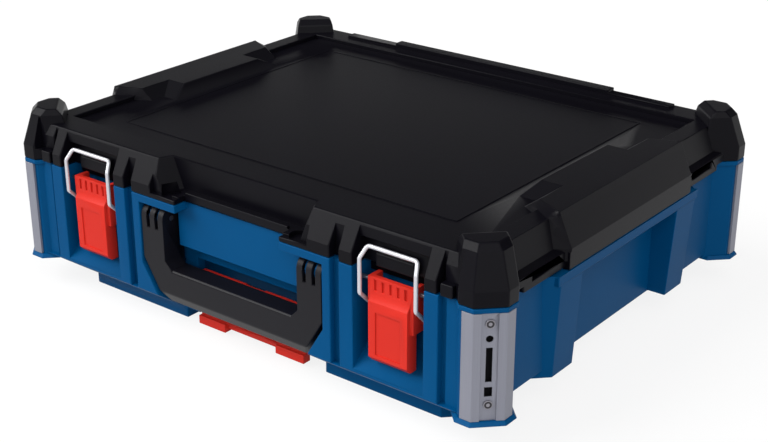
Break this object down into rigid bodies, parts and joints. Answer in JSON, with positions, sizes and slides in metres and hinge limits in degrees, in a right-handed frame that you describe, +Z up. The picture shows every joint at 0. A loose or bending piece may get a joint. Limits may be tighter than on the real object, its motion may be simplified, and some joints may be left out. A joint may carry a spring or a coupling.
{
  "type": "stackable tool case",
  "caption": "Flat stackable hard-plastic tool case with a rear-hinged lid, wire-bail draw latches, a folding front handle, metal corner guards and a stacking lock.",
  "frame": {"origin": "middle of the case's bounding box, on the floor it stands on", "axes": "+X to the right along the front, +Y to the rear hinges, +Z up"},
  "size_m": [0.442, 0.356, 0.139],
  "materials": {
    "blue_plastic": "fine moulded texture",
    "black_plastic": "fine moulded texture",
    "handle_plastic": "fine moulded texture",
    "red_plastic": "satin",
    "bright_wire": "bright plated wire",
    "steel": "plain",
    "guard_metal": "satin"
  },
  "bodies": {
    "base": {"base_shell": "blue_plastic", "corner_trim_front_left": "guard_metal", "corner_trim_front_right": "guard_metal", "corner_trim_rear_left": "guard_metal", "corner_trim_rear_right": "guard_metal", "trim_screws": "steel", "hinge_pin_left": "steel", "hinge_pin_right": "steel", "latch_pin_left": "steel", "latch_pin_right": "steel", "handle_pin_left": "steel", "handle_pin_right": "steel", "stack_lock_pin": "steel", "stack_lock_spring": "steel"},
    "lid": {"lid_shell": "black_plastic"},
    "handle": {"carry_handle": "handle_plastic"},
    "lock": {"stack_lock": "red_plastic"},
    "left_lever": {"latch_lever_left": "red_plastic"},
    "right_lever": {"latch_lever_right": "red_plastic"},
    "left_bail": {"latch_bail_left": "bright_wire"},
    "right_bail": {"latch_bail_right": "bright_wire"}
  },
  "joints": [
    {"name": "lid_hinge", "type": "hinge", "parent": "base", "child": "lid", "pos_m": [0, 0.174, 0.101], "axis": [-1, 0, 0], "range_deg": [0, 100]},
    {"name": "handle_fold", "type": "hinge", "parent": "base", "child": "handle", "pos_m": [0, -0.1635, 0.085], "axis": [-1, 0, 0], "range_deg": [0, 90]},
    {"name": "lock_tip", "type": "hinge", "parent": "base", "child": "lock", "pos_m": [0, -0.146, 0.04], "axis": [1, 0, 0], "range_deg": [0, 6], "stiffness_Nm_per_rad": 0.5},
    {"name": "left_lever_swing", "type": "hinge", "parent": "base", "child": "left_lever", "pos_m": [-0.1375, -0.1625, 0.091], "axis": [-1, 0, 0], "range_deg": [0, 100]},
    {"name": "right_lever_swing", "type": "hinge", "parent": "base", "child": "right_lever", "pos_m": [0.1375, -0.1625, 0.091], "axis": [-1, 0, 0], "range_deg": [0, 100]},
    {"name": "left_bail_swing", "type": "hinge", "parent": "left_lever", "child": "left_bail", "pos_m": [-0.1375, -0.1575, 0.069], "axis": [-1, 0, 0], "range_deg": [-120, 0]},
    {"name": "right_bail_swing", "type": "hinge", "parent": "right_lever", "child": "right_bail", "pos_m": [0.1375, -0.1575, 0.069], "axis": [-1, 0, 0], "range_deg": [-120, 0]}
  ],
  "couplings": [
    {"joint": "left_bail_swing", "follows": "left_lever_swing", "ratio": -1.15},
    {"joint": "right_bail_swing", "follows": "right_lever_swing", "ratio": -1.15}
  ]
}
